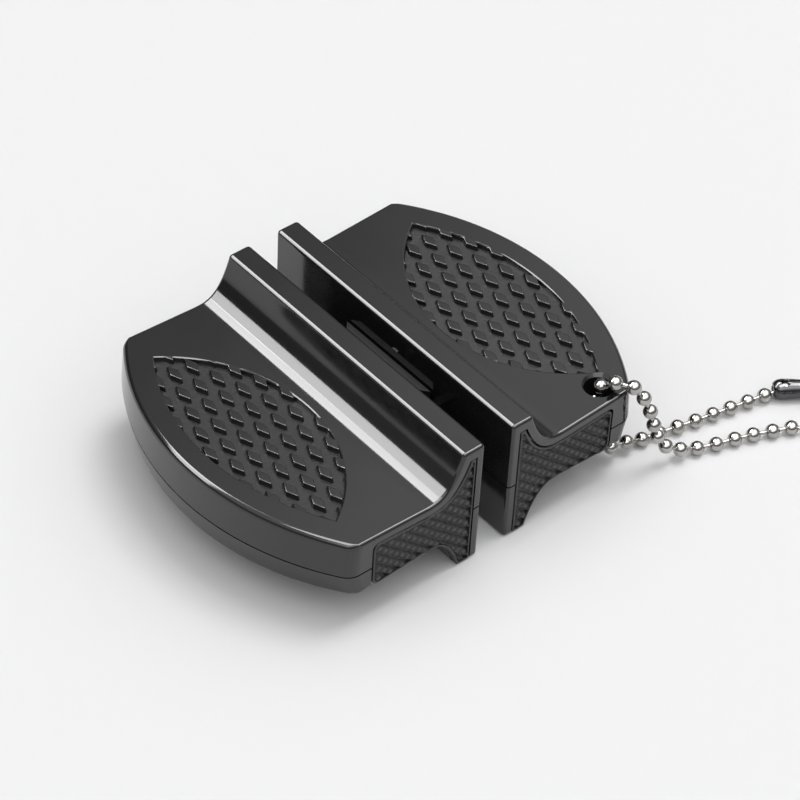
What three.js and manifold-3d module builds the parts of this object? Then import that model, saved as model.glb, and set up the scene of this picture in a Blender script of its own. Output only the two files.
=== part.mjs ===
// A pocket knife sharpener: a two-part plastic body with a knife slot between two wings,
// a coarse carbide V above, a fine ceramic V below, rubber end pads and a ball chain.
// Millimetres, +Z up. X crosses the wings, Y runs along the slot, the front end is at -Y.

import * as THREE from 'three';
import { mergeVertices } from 'three/addons/utils/BufferGeometryUtils.js';
import Module from 'manifold-3d';

const wasm = await Module();
wasm.setup();

// Body
const bodyLength = 52;
const bodyHeight = 21.6;
const seamDrop = 1.0;
const seamGap = 0.25;
const fitGap = 0.25;

// Slot and ridges
const slotWidth = 5.0;
const ridgeWidth = 3.75;
const ridgeRound = 0.9;
const endRound = 0.6;

// Wings
const filletReach = 6.15;
const wingDrop = 6.6;
const wingSlope = 0.055;
const wingReach = 34.5;
const wingArcRadius = 43.1;
const cornerRadius = 2.0;
const upperRim = 1.0;
const lowerRim = 0.6;
const rimLift = 0.05;
const upperDraft = 0.45;
const lowerDraft = 0.85;
const wallThickness = 2.0;
const endWall = 2.8;

// Leaf grip with raised lozenges
const leafInnerMargin = 0.3;
const leafOuterMargin = 4.2;
const leafEndMargin = 5.8;
const leafInnerBulge = 11.3;
const leafDepth = 0.8;
const lozengePitch = 3.0;
const lozengeRowPitch = 4.0;
const lozengeWidth = 1.44;
const lozengeLength = 3.05;
const lozengeRise = 4.2;
const lozengeShift = 0.6;

// Rubber end pads
const padFrame = 1.6;
const padSideFrame = 1.3;
const padTopFrame = 2.0;
const padEndFrame = 2.5;
const padFootLift = 0.25;
const padSeatDepth = 1.0;
const padProud = 0.05;

// Ribs that join the wings across the slot, and the inserts between them
const insertLength = 18.6;
const insertShoulder = 5.6;
const ribThickness = 2.8;
const ribReach = 2.2;
const channelWidth = 2.5;
const channelFloor = 0.475;
const flareLength = 1.3;

// Abrasives
const abrasiveTilt = 22;
const abrasiveOffset = 0.6;
const plateWidth = 1.6;
const plateThickness = 1.2;
const plateSink = 0.4;
const plateFloor = 1.075;
const rodDiameter = 1.8;
const rodSink = 0.45;
const rodFloor = 0.425;

// Case screws and their bosses
const screwInset = 8.0;
const screwFromFillet = 1.1;
const screwHeadDiameter = 3.8;
const screwHeadHeight = 1.3;
const screwShankDiameter = 1.8;
const screwCover = 1.51;
const screwSink = 0.3;
const screwDriveWidth = 0.5;
const screwDriveDepth = 0.6;
const bossWall = 1.4;

// Chain hole in the right wing's front corner
const holeRadius = 2.1;
const holeFromEnd = 3.6;
const holeFromSide = 5.92;
const holeLip = 0.4;

// Ball chain and its connector
const chainDiameter = 2.2;
const chainSides = 8;
const chainStep = 2.2;
const connectorLength = 8.0;
const connectorDiameter = 3.1;
const connectorWall = 0.3;
const connectorNeck = 1.0;
const connectorSlit = 0.5;
const connectorWindow = 1.6;
const connectorStart = new THREE.Vector3(53.3, -28.65, connectorDiameter / 2);
const connectorHeading = -36;

const slotHalf = slotWidth / 2;
const ridgeOuter = slotHalf + ridgeWidth;
const filletEnd = ridgeOuter + filletReach;
const endY = bodyLength / 2;
const seamHeight = bodyHeight / 2 - seamDrop;
const valleyHeight = bodyHeight - wingDrop;
const wingTilt = Math.atan(wingSlope);
const arcCentre = wingReach - wingArcRadius;
const screwX = filletEnd + screwFromFillet;

// Leaf extents on a wing
const leafInnerX = filletEnd + leafInnerMargin;
const leafOuterX = wingReach - leafOuterMargin;
const leafHalfLength = endY - leafEndMargin;

// How far cutters and blanks reach past what they cut, and how finely round faces are divided
const slabMargin = 2;
const rimSides = 84;
const hollowSides = 64;
const holeSides = 32;
const postSides = 20;

// Height of the upper surface over a wing, at distance x from the middle of the slot
function wingTop(x) {
  return valleyHeight + wingSlope * (x - filletEnd);
}

// Distance of the wing's outer edge from the middle of the slot, at y along it
function wingEdge(y) {
  return arcCentre + Math.sqrt(wingArcRadius ** 2 - y ** 2);
}

// A closed three.js geometry as a solid for joining and cutting
function solid(geometry) {
  const bare = geometry.clone();
  bare.deleteAttribute('normal');
  bare.deleteAttribute('uv');
  const merged = mergeVertices(bare, 1e-4);
  const triVerts = Uint32Array.from(merged.index.array);
  const vertProperties = Float32Array.from(merged.attributes.position.array);
  return new wasm.Manifold(new wasm.Mesh({ numProp: 3, vertProperties, triVerts }));
}

// A solid back as a three.js geometry
function geometryOf(body) {
  const { vertProperties, triVerts } = body.getMesh();
  const geometry = new THREE.BufferGeometry();
  geometry.setAttribute('position', new THREE.BufferAttribute(vertProperties, 3));
  geometry.setIndex(new THREE.BufferAttribute(triVerts, 1));
  geometry.computeVertexNormals();
  return geometry;
}

function joined(bodies) {
  return bodies.reduce((sum, body) => sum.add(body));
}

// Box between two corners
function block(x0, x1, y0, y1, z0, z1) {
  const geometry = new THREE.BoxGeometry(Math.abs(x1 - x0), Math.abs(y1 - y0), Math.abs(z1 - z0));
  geometry.translate((x0 + x1) / 2, (y0 + y1) / 2, (z0 + z1) / 2);
  return solid(geometry);
}

// Upright cylinder or cone between two heights
function post(x, y, z0, z1, lowRadius, highRadius = lowRadius, sides = postSides) {
  const geometry = new THREE.CylinderGeometry(highRadius, lowRadius, z1 - z0, sides);
  geometry.rotateX(Math.PI / 2);
  geometry.translate(x, y, (z0 + z1) / 2);
  return solid(geometry);
}

// Shape drawn in X and Z, run along Y between y0 and y1
function runAlongSlot(shape, y0, y1, round = 0) {
  const geometry = new THREE.ExtrudeGeometry(shape, {
    depth: y1 - y0 - 2 * round,
    bevelEnabled: round > 0,
    bevelThickness: round,
    bevelSize: round,
    bevelOffset: -round,
    bevelSegments: 2,
    curveSegments: 3,
  });
  geometry.rotateX(Math.PI / 2);
  geometry.translate(0, y1 - round, 0);
  return solid(geometry);
}

// Shape drawn in X and Y, raised from z0 to z1
function raised(shape, z0, z1) {
  const options = { depth: z1 - z0, bevelEnabled: false, curveSegments: 24 };
  const geometry = new THREE.ExtrudeGeometry(shape, options);
  geometry.translate(0, 0, z0);
  return geometry;
}

// Lays a geometry, drawn with its z = 0 on the wing's surface, on the upper or lower face of a wing
function onWing(geometry, side, up) {
  const placed = geometry.clone();
  if (!up) {
    placed.rotateX(Math.PI);
  }
  const turn = up ? -side * wingTilt : side * wingTilt;
  const level = wingTop(0);
  placed.rotateY(turn);
  placed.translate(0, 0, up ? level : bodyHeight - level);
  return solid(placed);
}

// Points down the concave fillet from a ridge to the wing
function filletPoints(ridgeX, ridgeZ, endX, endZ) {
  const steps = 12;
  return Array.from({ length: steps + 1 }, (_, i) => {
    const run = i / steps;
    const fall = (1 - run) ** 3;
    return new THREE.Vector2(ridgeX + (endX - ridgeX) * run, endZ + (ridgeZ - endZ) * fall);
  });
}

// Cross-section of one side of the body, from the slot wall out past the wing's edge
function bodySection(side) {
  const farX = wingReach + slabMargin;
  const shape = new THREE.Shape();
  const fillet = filletPoints(ridgeOuter, bodyHeight, filletEnd, valleyHeight);
  const upper = fillet.filter((point) => point.x > ridgeOuter + ridgeRound / 2);
  const lower = upper.map((point) => new THREE.Vector2(point.x, bodyHeight - point.y)).reverse();
  const flip = (x) => side * x;
  shape.moveTo(flip(slotHalf), ridgeRound);
  shape.lineTo(flip(slotHalf), bodyHeight - ridgeRound);
  shape.quadraticCurveTo(flip(slotHalf), bodyHeight, flip(slotHalf + ridgeRound), bodyHeight);
  shape.lineTo(flip(ridgeOuter - ridgeRound), bodyHeight);
  shape.quadraticCurveTo(flip(ridgeOuter), bodyHeight, flip(upper[0].x), upper[0].y);
  upper.slice(1).forEach((point) => shape.lineTo(flip(point.x), point.y));
  shape.lineTo(flip(farX), wingTop(farX));
  shape.lineTo(flip(farX), bodyHeight - wingTop(farX));
  lower.forEach((point) => shape.lineTo(flip(point.x), point.y));
  shape.quadraticCurveTo(flip(ridgeOuter), 0, flip(ridgeOuter - ridgeRound), 0);
  shape.lineTo(flip(slotHalf + ridgeRound), 0);
  shape.quadraticCurveTo(flip(slotHalf), 0, flip(slotHalf), ridgeRound);
  return shape;
}

// Where the corner round leaves the flat end face
function cornerStart() {
  return arcCentre + Math.sqrt((wingArcRadius - cornerRadius) ** 2 - (endY - cornerRadius) ** 2);
}

// Plan of one side: flat ends and rounded corners, clear of the wing's turned edge between them
function wingPlan(side) {
  const cornerX = cornerStart();
  const sweep = Math.atan2(endY - cornerRadius, cornerX - arcCentre);
  const clearX = wingReach + slabMargin;
  const outline = new THREE.Path();
  outline.moveTo(0, -endY);
  outline.lineTo(cornerX, -endY);
  outline.absarc(cornerX, -endY + cornerRadius, cornerRadius, -Math.PI / 2, -sweep, false);
  outline.lineTo(clearX, -endY + cornerRadius);
  outline.lineTo(clearX, endY - cornerRadius);
  outline.absarc(cornerX, endY - cornerRadius, cornerRadius, sweep, Math.PI / 2, false);
  outline.lineTo(0, endY);
  const points = outline.getPoints(6).map((point) => new THREE.Vector2(side * point.x, point.y));
  return new THREE.Shape(points);
}

// Turned blank of a wing: a side that leans in from the parting line, and a rounded rim
function wingBlank(side, up) {
  const edgeTop = wingTop(wingReach);
  const rise = up ? edgeTop - seamHeight : seamHeight - (bodyHeight - edgeTop);
  const draft = up ? upperDraft : lowerDraft;
  const rimRadius = up ? upperRim : lowerRim;
  const seamRadius = wingArcRadius - rise * wingSlope;
  const rimSteps = 3;
  const rim = Array.from({ length: rimSteps + 1 }, (_, i) => {
    const angle = (i / rimSteps) * (Math.PI / 2);
    const radius = wingArcRadius - draft - rimRadius + rimRadius * Math.cos(angle);
    return new THREE.Vector2(radius, -rimRadius + rimRadius * Math.sin(angle));
  });
  const profile = [
    new THREE.Vector2(0, -bodyHeight),
    new THREE.Vector2(seamRadius, -bodyHeight),
    new THREE.Vector2(seamRadius, -rise),
    ...rim,
    new THREE.Vector2(0, 0),
  ];
  const geometry = new THREE.LatheGeometry(profile, rimSides);
  geometry.rotateX(Math.PI / 2);
  geometry.translate(side * arcCentre, 0, rimLift);
  return onWing(geometry, side, up);
}

// One half of a shell, on one side of the slot, before it is hollowed
function outerHalf(side, up) {
  const section = runAlongSlot(bodySection(side), -endY, endY, endRound);
  const plan = solid(raised(wingPlan(side), -slabMargin, bodyHeight + slabMargin));
  const ridge = block(0, side * filletEnd, -endY, endY, -slabMargin, bodyHeight + slabMargin);
  return section.intersect(plan).intersect(wingBlank(side, up).add(ridge));
}

// The hollow of a wing, open at the parting line
function wingHollow(side, up) {
  const roof = valleyHeight - wallThickness;
  const z0 = up ? seamHeight - slabMargin : bodyHeight - roof;
  const z1 = up ? roof : seamHeight + slabMargin;
  const radius = wingArcRadius - wallThickness;
  const cylinder = post(side * arcCentre, 0, z0, z1, radius, radius, hollowSides);
  const hollowY = endY - endWall;
  const nearX = side * (ridgeOuter + wallThickness);
  const farX = side * (wingReach + slabMargin);
  return cylinder.intersect(block(nearX, farX, -hollowY, hollowY, z0, z1));
}

// Places of the four case screws
const screwPlaces = [
  ['front_left', -1, -1],
  ['front_right', 1, -1],
  ['back_left', -1, 1],
  ['back_right', 1, 1],
].map(([place, side, end]) => ({ place, x: side * screwX, y: end * (endY - screwInset) }));

// Height of a screw head's underside, where it bears on the lower shell
const screwSeat = bodyHeight - wingTop(screwX) + screwSink + screwHeadHeight;
const screwLength = wingTop(screwX) - screwCover - screwSeat;

// Place of the chain hole
const holeY = -endY + holeFromEnd;
const holeX = wingEdge(holeY) - holeFromSide;

// Blank of the leaf recess, between two arcs
function leafCutter(side) {
  const bulge = (sagitta) => {
    const radius = (leafHalfLength ** 2 + sagitta ** 2) / (2 * sagitta);
    return { radius, half: Math.asin(leafHalfLength / radius) };
  };
  const inner = bulge(leafInnerBulge);
  const outer = bulge(leafOuterX - leafInnerX - leafInnerBulge);
  const innerCentre = leafInnerX + inner.radius;
  const outerCentre = leafOuterX - outer.radius;
  const outline = new THREE.Path();
  outline.absarc(outerCentre, 0, outer.radius, -outer.half, outer.half, false);
  outline.absarc(innerCentre, 0, inner.radius, Math.PI - inner.half, Math.PI + inner.half, false);
  const points = outline.getPoints(16).map((point) => new THREE.Vector2(side * point.x, point.y));
  const distinct = points.filter((point, i) => i === 0 || point.distanceTo(points[i - 1]) > 1e-6);
  return raised(new THREE.Shape(distinct.slice(0, -1)), -leafDepth, lozengeRise + leafDepth);
}

// Raised lozenges over a whole leaf, in staggered rows: tall pyramids that the wing's surface cuts off
function lozengeGeometries(side) {
  const rows = Math.ceil(leafHalfLength / lozengeRowPitch);
  const columns = Math.ceil((leafOuterX - leafInnerX) / 2 / lozengePitch);
  const middleX = (leafInnerX + leafOuterX) / 2 + lozengeShift;
  const foot = -2 * leafDepth;
  const spread = (lozengeRise - foot) / lozengeRise;
  const list = [];
  for (let row = -rows; row <= rows; row += 1) {
    const shift = row % 2 === 0 ? lozengePitch / 2 : 0;
    for (let column = -columns; column <= columns; column += 1) {
      const lozenge = new THREE.ConeGeometry(spread, lozengeRise - foot, 4);
      const x = middleX + shift + column * lozengePitch;
      lozenge.rotateX(Math.PI / 2);
      lozenge.scale(lozengeWidth / 2, lozengeLength / 2, 1);
      lozenge.translate(side * x, row * lozengeRowPitch, (lozengeRise + foot) / 2);
      list.push(lozenge);
    }
  }
  return list;
}

// Cutter for the leaf on one face of a wing
function leafTool(side, up) {
  const lozenges = lozengeGeometries(side).map((geometry) => onWing(geometry, side, up));
  return onWing(leafCutter(side), side, up).subtract(joined(lozenges));
}

// Outline of an end pad, grown by a clearance for its seat
function padOutline(side, grow) {
  const flip = (x) => side * x;
  const innerX = slotHalf + padFrame - grow;
  const outerX = cornerStart() - padEndFrame + grow;
  const topZ = bodyHeight - padTopFrame + grow;
  const ridgeX = ridgeOuter - padSideFrame + grow;
  const valleyZ = valleyHeight - padFrame + grow;
  const footZ = padFootLift - grow;
  const rise = wingSlope * (outerX - filletEnd);
  const upper = filletPoints(ridgeX, topZ, filletEnd, valleyZ);
  const archZ = bodyHeight - valleyHeight - grow;
  const lower = filletPoints(ridgeOuter + grow, footZ, filletEnd, archZ).reverse();
  const shape = new THREE.Shape();
  shape.moveTo(flip(innerX), footZ);
  shape.lineTo(flip(innerX), topZ);
  upper.forEach((point) => shape.lineTo(flip(point.x), point.y));
  shape.lineTo(flip(outerX), valleyZ + rise);
  shape.lineTo(flip(outerX), archZ - rise);
  lower.forEach((point) => shape.lineTo(flip(point.x), point.y));
  shape.closePath();
  return shape;
}

// Slab of a pad outline at one end of the body, from the seat's floor outwards
function padSlab(side, end, grow, outward) {
  const floorY = endY - padSeatDepth;
  const reachY = endY + outward;
  const outline = padOutline(side, grow);
  return end < 0 ? runAlongSlot(outline, -reachY, -floorY) : runAlongSlot(outline, floorY, reachY);
}

const insertHalf = insertLength / 2;
const ribInner = insertHalf - ribThickness;
const shoulderZ = { up: bodyHeight - insertShoulder, down: insertShoulder };
const ribZ = { up: seamHeight + ribReach, down: seamHeight - ribReach };
const rootZ = { up: seamHeight + fitGap / 2, down: seamHeight - fitGap / 2 };
const channelDepth = rootZ.down - shoulderZ.down - channelFloor;

// Cross ribs of a shell, in front of and behind the middle of the slot
function crossRibs(up) {
  const z0 = up ? seamHeight : ribZ.down;
  const z1 = up ? ribZ.up : seamHeight;
  const x = slotHalf + ridgeWidth / 2;
  return [-1, 1].map((end) => block(-x, x, end * ribInner, end * insertHalf, z0, z1));
}

function shell(up) {
  const sides = [-1, 1];
  const low = seamHeight + seamGap / 2;
  const high = seamHeight - seamGap / 2;
  const far = wingReach + slabMargin;
  const keep = up
    ? block(-far, far, -endY, endY, low, bodyHeight + slabMargin)
    : block(-far, far, -endY, endY, -slabMargin, high);
  const outer = joined([...sides.map((side) => outerHalf(side, up)), ...crossRibs(up)]);
  const hollow = joined(sides.map((side) => wingHollow(side, up)));
  const bossRadius = screwShankDiameter / 2 + fitGap + bossWall;
  const seatRadius = screwHeadDiameter / 2 + fitGap;
  const lowerBoss = seatRadius + bossWall;
  const bosses = screwPlaces.map(({ x, y }) => post(x, y, 0, bodyHeight, up ? bossRadius : lowerBoss));
  const holeTube = post(holeX, holeY, 0, bodyHeight, holeRadius + bossWall);
  let body = outer.subtract(hollow.subtract(joined([...bosses, holeTube])));
  for (const { x, y } of screwPlaces) {
    const tip = screwSeat + screwLength + fitGap;
    body = body.subtract(post(x, y, screwSeat, tip, screwShankDiameter / 2 + fitGap));
    if (!up) {
      body = body.subtract(post(x, y, 0, screwSeat + fitGap, seatRadius));
    }
  }
  const mouth = up ? wingTop(holeX) : bodyHeight - wingTop(holeX);
  const wideRadius = holeRadius + 2 * holeLip;
  const lowRadius = up ? holeRadius : wideRadius;
  const highRadius = up ? wideRadius : holeRadius;
  const bore = post(holeX, holeY, -slabMargin, bodyHeight + slabMargin, holeRadius, holeRadius, holeSides);
  const lip = post(holeX, holeY, mouth - holeLip, mouth + holeLip, lowRadius, highRadius, holeSides);
  body = body.subtract(bore).subtract(lip);
  for (const side of sides) {
    body = body.subtract(leafTool(side, up));
    for (const end of sides) {
      body = body.subtract(padSlab(side, end, fitGap, slabMargin));
    }
  }
  return body.intersect(keep);
}

// Two plates or rods lean opposite ways and cross, one behind the other
function crossed(geometry, side, stepY, z, up) {
  const placed = geometry.clone();
  const lean = THREE.MathUtils.degToRad(up ? abrasiveTilt : -abrasiveTilt);
  placed.rotateY(side * lean);
  placed.translate(side * abrasiveOffset, side * stepY, z);
  return placed;
}

// Plates and rods reach from a little below their insert's face to a little above its root
const plateLength = shoulderZ.up - rootZ.up - plateSink - plateFloor;
const plateZ = shoulderZ.up - plateSink - plateLength / 2;
const rodLength = rootZ.down - shoulderZ.down - rodSink - rodFloor;
const rodZ = shoulderZ.down + rodSink + rodLength / 2;
const plateStep = (plateThickness + fitGap) / 2;
const rodStep = (rodDiameter + fitGap) / 2;

function plate(side, grow) {
  const size = [plateWidth, plateThickness, plateLength].map((length) => length + 2 * grow);
  return crossed(new THREE.BoxGeometry(...size), side, plateStep, plateZ, true);
}

function rod(side, grow) {
  const radius = rodDiameter / 2 + grow;
  const geometry = new THREE.CylinderGeometry(radius, radius, rodLength + 2 * grow, postSides);
  geometry.rotateX(Math.PI / 2);
  return crossed(geometry, side, rodStep, rodZ, false);
}

// Block that fills the slot between the ribs, with a V channel and flared ends
function insert(up, seats) {
  const x = slotHalf - fitGap;
  const sign = up ? 1 : -1;
  const face = up ? shoulderZ.up : shoulderZ.down;
  const ribFace = (up ? ribZ.up : ribZ.down) + sign * fitGap;
  const root = up ? rootZ.up : rootZ.down;
  const core = ribInner - fitGap;
  const head = block(-x, x, -insertHalf, insertHalf, ribFace, face);
  const stem = block(-x, x, -core, core, root, face);
  const overshoot = channelDepth / 2;
  const slope = channelWidth / 2 / channelDepth;
  const wide = (channelDepth + overshoot) * slope;
  const channel = new THREE.Shape();
  channel.moveTo(0, face - sign * channelDepth);
  channel.lineTo(-wide, face + sign * overshoot);
  channel.lineTo(wide, face + sign * overshoot);
  channel.closePath();
  const channelEnd = insertHalf + slabMargin;
  let body = head.add(stem).subtract(runAlongSlot(channel, -channelEnd, channelEnd));
  for (const end of [-1, 1]) {
    const flare = new THREE.Shape();
    const mouth = end * (insertHalf + fitGap);
    const neck = end * (insertHalf - flareLength);
    flare.moveTo(-x - fitGap, mouth);
    flare.lineTo(x + fitGap, mouth);
    flare.lineTo(channelWidth / 2, neck);
    flare.lineTo(-channelWidth / 2, neck);
    flare.closePath();
    const z0 = Math.min(face - sign * channelDepth, face + sign * overshoot);
    const z1 = Math.max(face - sign * channelDepth, face + sign * overshoot);
    body = body.subtract(solid(raised(flare, z0, z1)));
  }
  return seats.reduce((sum, seat) => sum.subtract(solid(seat)), body);
}

// Self-tapping screw with a pan head below and a cross drive
function screw(x, y) {
  const head = screwSeat - screwHeadHeight;
  const shank = screwShankDiameter / 2;
  const tip = screwSeat + screwLength;
  const profile = [
    new THREE.Vector2(0, head),
    new THREE.Vector2(screwHeadDiameter / 2, head),
    new THREE.Vector2(screwHeadDiameter / 2, screwSeat),
    new THREE.Vector2(shank, screwSeat),
    new THREE.Vector2(shank, tip - shank),
    new THREE.Vector2(0, tip),
  ];
  const turned = new THREE.LatheGeometry(profile, postSides);
  turned.rotateX(Math.PI / 2);
  turned.translate(x, y, 0);
  const reach = screwHeadDiameter / 3;
  const half = screwDriveWidth / 2;
  const drive = [
    block(x - reach, x + reach, y - half, y + half, head - screwSink, head + screwDriveDepth),
    block(x - half, x + half, y - reach, y + reach, head - screwSink, head + screwDriveDepth),
  ];
  return solid(turned).subtract(joined(drive));
}

// Route of each chain leg, from inside the hole to the connector
const upperRoute = [
  [22.2, -22.2, 11.1], [22.2, -22.2, 12.4], [22.6, -22.6, 15.3], [23.1, -24.8, 17.3],
  [24.9, -26.8, 16.9], [26.5, -27.5, 14.4], [27.5, -28.1, 11.7], [28.3, -28.4, 8.8],
  [29.3, -28.5, 6.0], [30.8, -29.0, 3.5], [33.3, -29.7, 1.9], [36.0, -30.5, 1.15],
  [38.8, -31.6, 1.15], [41.7, -32.5, 1.15], [44.5, -33.5, 1.15], [47.3, -34.7, 1.15],
  [50.0, -35.9, 1.15], [52.2, -38.0, 1.15], [54.7, -39.7, 1.15], [57.5, -40.8, 1.15],
  [60.5, -40.7, 1.15], [63.1, -39.1, 1.15], [63.5, -36.2, 1.2],
];
const lowerRoute = [
  [22.2, -22.3, 10.7], [22.2, -22.3, 9.2], [21.8, -22.6, 6.4], [22.7, -23.1, 3.7],
  [25.2, -23.5, 2.4], [28.1, -23.8, 1.9], [30.9, -24.2, 1.15], [33.8, -24.8, 1.15],
  [36.8, -25.5, 1.15], [39.8, -26.2, 1.15], [42.8, -26.8, 1.15], [45.8, -27.4, 1.15],
  [48.8, -28.0, 1.15], [51.7, -28.6, 1.2], [52.2, -28.6, 1.25],
];

const headingRadians = THREE.MathUtils.degToRad(connectorHeading);
const connectorAxis = new THREE.Vector3(Math.cos(headingRadians), Math.sin(headingRadians), 0);

// Point on the connector's axis, a distance from its near end
function alongConnector(distance) {
  return connectorStart.clone().addScaledVector(connectorAxis, distance);
}

function routePoints(route) {
  return route.map((point) => new THREE.Vector3(...point));
}

function chainLeg(points) {
  const curve = new THREE.CatmullRomCurve3(points, false, 'centripetal');
  const ring = Array.from({ length: chainSides }, (_, i) => {
    const angle = (i / chainSides) * 2 * Math.PI;
    return new THREE.Vector2(Math.cos(angle), Math.sin(angle)).multiplyScalar(chainDiameter / 2);
  });
  const steps = Math.round(curve.getLength() / chainStep);
  const options = { steps, extrudePath: curve, bevelEnabled: false };
  return new THREE.ExtrudeGeometry(new THREE.Shape(ring), options);
}

// Thin barrel with necked ends, a slit along it and a window over each caught ball
function connectorBody() {
  const outer = connectorDiameter / 2;
  const inner = outer - connectorWall;
  const neck = connectorNeck / 2;
  const profile = [
    new THREE.Vector2(neck, 0),
    new THREE.Vector2(outer - connectorWall, 0),
    new THREE.Vector2(outer, connectorWall),
    new THREE.Vector2(outer, connectorLength - connectorWall),
    new THREE.Vector2(outer - connectorWall, connectorLength),
    new THREE.Vector2(neck, connectorLength),
    new THREE.Vector2(neck, connectorLength - connectorWall),
    new THREE.Vector2(inner, connectorLength - 2 * connectorWall),
    new THREE.Vector2(inner, 2 * connectorWall),
    new THREE.Vector2(neck, connectorWall),
    new THREE.Vector2(neck, 0),
  ];
  const barrel = new THREE.LatheGeometry(profile, postSides);
  barrel.rotateZ(-Math.PI / 2);
  const slit = block(-slabMargin, connectorLength + slabMargin, 0, outer + slabMargin,
    -connectorSlit / 2, connectorSlit / 2);
  const windows = ballDistances.map((distance) =>
    post(distance, 0, 0, outer + slabMargin, connectorWindow / 2));
  return solid(barrel).subtract(slit).subtract(joined(windows));
}

const ballRadius = chainDiameter / 2;
const ballInset = 2 * connectorWall + ballRadius + fitGap / 2;
const ballDistances = [ballInset, connectorLength - ballInset];

// Finishes
const blackPlastic = { color: 0x1c1c1e, roughness: 0.28, metalness: 0 };
const blackRubber = { color: 0x2a2a2c, roughness: 0.8, metalness: 0 };
const carbide = { color: 0x5e6064, roughness: 0.35, metalness: 1 };
const ceramic = { color: 0xe8e6df, roughness: 0.6, metalness: 0 };
const steel = { color: 0x9a9ca0, roughness: 0.3, metalness: 1 };
const nickel = { color: 0xc9c8c4, roughness: 0.18, metalness: 1 };
const darkNickel = { color: 0x4a4a4c, roughness: 0.22, metalness: 1 };

const sharpener = new THREE.Group();

function addPiece(name, geometry, finish) {
  const mesh = new THREE.Mesh(geometry, new THREE.MeshStandardMaterial(finish));
  mesh.name = name;
  sharpener.add(mesh);
  return mesh;
}

addPiece('upper_shell', geometryOf(shell(true)), blackPlastic);
addPiece('lower_shell', geometryOf(shell(false)), blackPlastic);

for (const [end, endName] of [[-1, 'front'], [1, 'back']]) {
  for (const [side, sideName] of [[-1, 'left'], [1, 'right']]) {
    addPiece(`grip_pad_${endName}_${sideName}`, geometryOf(padSlab(side, end, 0, padProud)), blackRubber);
  }
}

const bothSides = [[-1, 'left'], [1, 'right']];
const plateSeats = bothSides.map(([side]) => plate(side, fitGap));
const rodSeats = bothSides.map(([side]) => rod(side, fitGap));
addPiece('coarse_insert', geometryOf(insert(true, plateSeats)), blackPlastic);
addPiece('fine_insert', geometryOf(insert(false, rodSeats)), blackPlastic);
for (const [side, sideName] of bothSides) {
  addPiece(`carbide_plate_${sideName}`, plate(side, 0), carbide);
  addPiece(`ceramic_rod_${sideName}`, rod(side, 0), ceramic);
}

for (const { place, x, y } of screwPlaces) {
  addPiece(`case_screw_${place}`, geometryOf(screw(x, y)), steel);
}

const upperEnd = alongConnector(connectorLength + fitGap);
addPiece('chain_upper_leg', chainLeg([...routePoints(upperRoute), upperEnd]), nickel);
addPiece('chain_lower_leg', chainLeg(routePoints(lowerRoute)), nickel);
const connector = addPiece('chain_connector', geometryOf(connectorBody()), darkNickel);
connector.position.copy(connectorStart);
connector.rotation.z = headingRadians;
for (const [i, name] of ['lower', 'upper'].entries()) {
  const ball = addPiece(`chain_end_ball_${name}`, new THREE.SphereGeometry(ballRadius, 12, 8), nickel);
  ball.position.copy(alongConnector(ballDistances[i]));
}

export default sharpener;
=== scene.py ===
import math

import bmesh
import bpy
from mathutils import Matrix, Vector


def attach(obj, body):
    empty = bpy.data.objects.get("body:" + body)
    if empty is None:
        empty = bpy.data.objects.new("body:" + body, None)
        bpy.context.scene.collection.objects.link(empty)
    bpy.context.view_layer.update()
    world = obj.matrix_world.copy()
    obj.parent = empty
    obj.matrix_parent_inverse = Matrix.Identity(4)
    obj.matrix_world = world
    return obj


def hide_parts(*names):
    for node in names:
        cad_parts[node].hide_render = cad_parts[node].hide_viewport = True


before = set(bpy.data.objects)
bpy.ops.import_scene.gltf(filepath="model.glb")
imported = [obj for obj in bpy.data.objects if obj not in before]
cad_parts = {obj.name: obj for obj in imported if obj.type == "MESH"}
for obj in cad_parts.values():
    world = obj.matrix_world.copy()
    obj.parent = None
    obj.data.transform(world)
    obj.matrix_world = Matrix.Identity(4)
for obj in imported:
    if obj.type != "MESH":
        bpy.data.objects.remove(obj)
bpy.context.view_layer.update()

mm = 0.001
print("frame loaded,", len(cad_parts), "nodes")

# camera: the photo's angle, with its small roll
shot = {
    "azimuth": -42.413,
    "elevation": 43.625,
    "roll": 3.372,
    "distance": 447.8 * mm,
    "target": (1.685 * mm, -3.604 * mm, 10.4 * mm),
    "lens": 141.5,
    "sensor": 36.0,
    "clipStart": 10.0 * mm,
}


def placeCamera():
    azimuth = math.radians(shot["azimuth"])
    elevation = math.radians(shot["elevation"])
    roll = math.radians(shot["roll"])
    back = Vector((math.sin(azimuth) * math.cos(elevation),
                   -math.cos(azimuth) * math.cos(elevation),
                   math.sin(elevation)))
    level = Vector((math.cos(azimuth), math.sin(azimuth), 0.0))
    rise = back.cross(level)
    right = math.cos(roll) * level + math.sin(roll) * rise
    up = math.cos(roll) * rise - math.sin(roll) * level
    data = bpy.data.cameras.new("photoCamera")
    data.sensor_width = shot["sensor"]
    data.lens = shot["lens"]
    data.clip_start = shot["clipStart"]
    camera = bpy.data.objects.new("photoCamera", data)
    bpy.context.scene.collection.objects.link(camera)
    turn = Matrix((right, up, back)).transposed().to_4x4()
    camera.matrix_world = Matrix.Translation(Vector(shot["target"]) + shot["distance"] * back) @ turn
    bpy.context.scene.camera = camera


placeCamera()
print("camera placed")


# small helpers for meshes
def newObject(name, bm):
    mesh = bpy.data.meshes.new(name)
    bm.to_mesh(mesh)
    bm.free()
    piece = bpy.data.objects.new(name, mesh)
    bpy.context.scene.collection.objects.link(piece)
    return piece


def smoothShading(piece, angle):
    piece.data.shade_smooth()
    piece.data.set_sharp_from_angle(angle=math.radians(angle))


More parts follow.
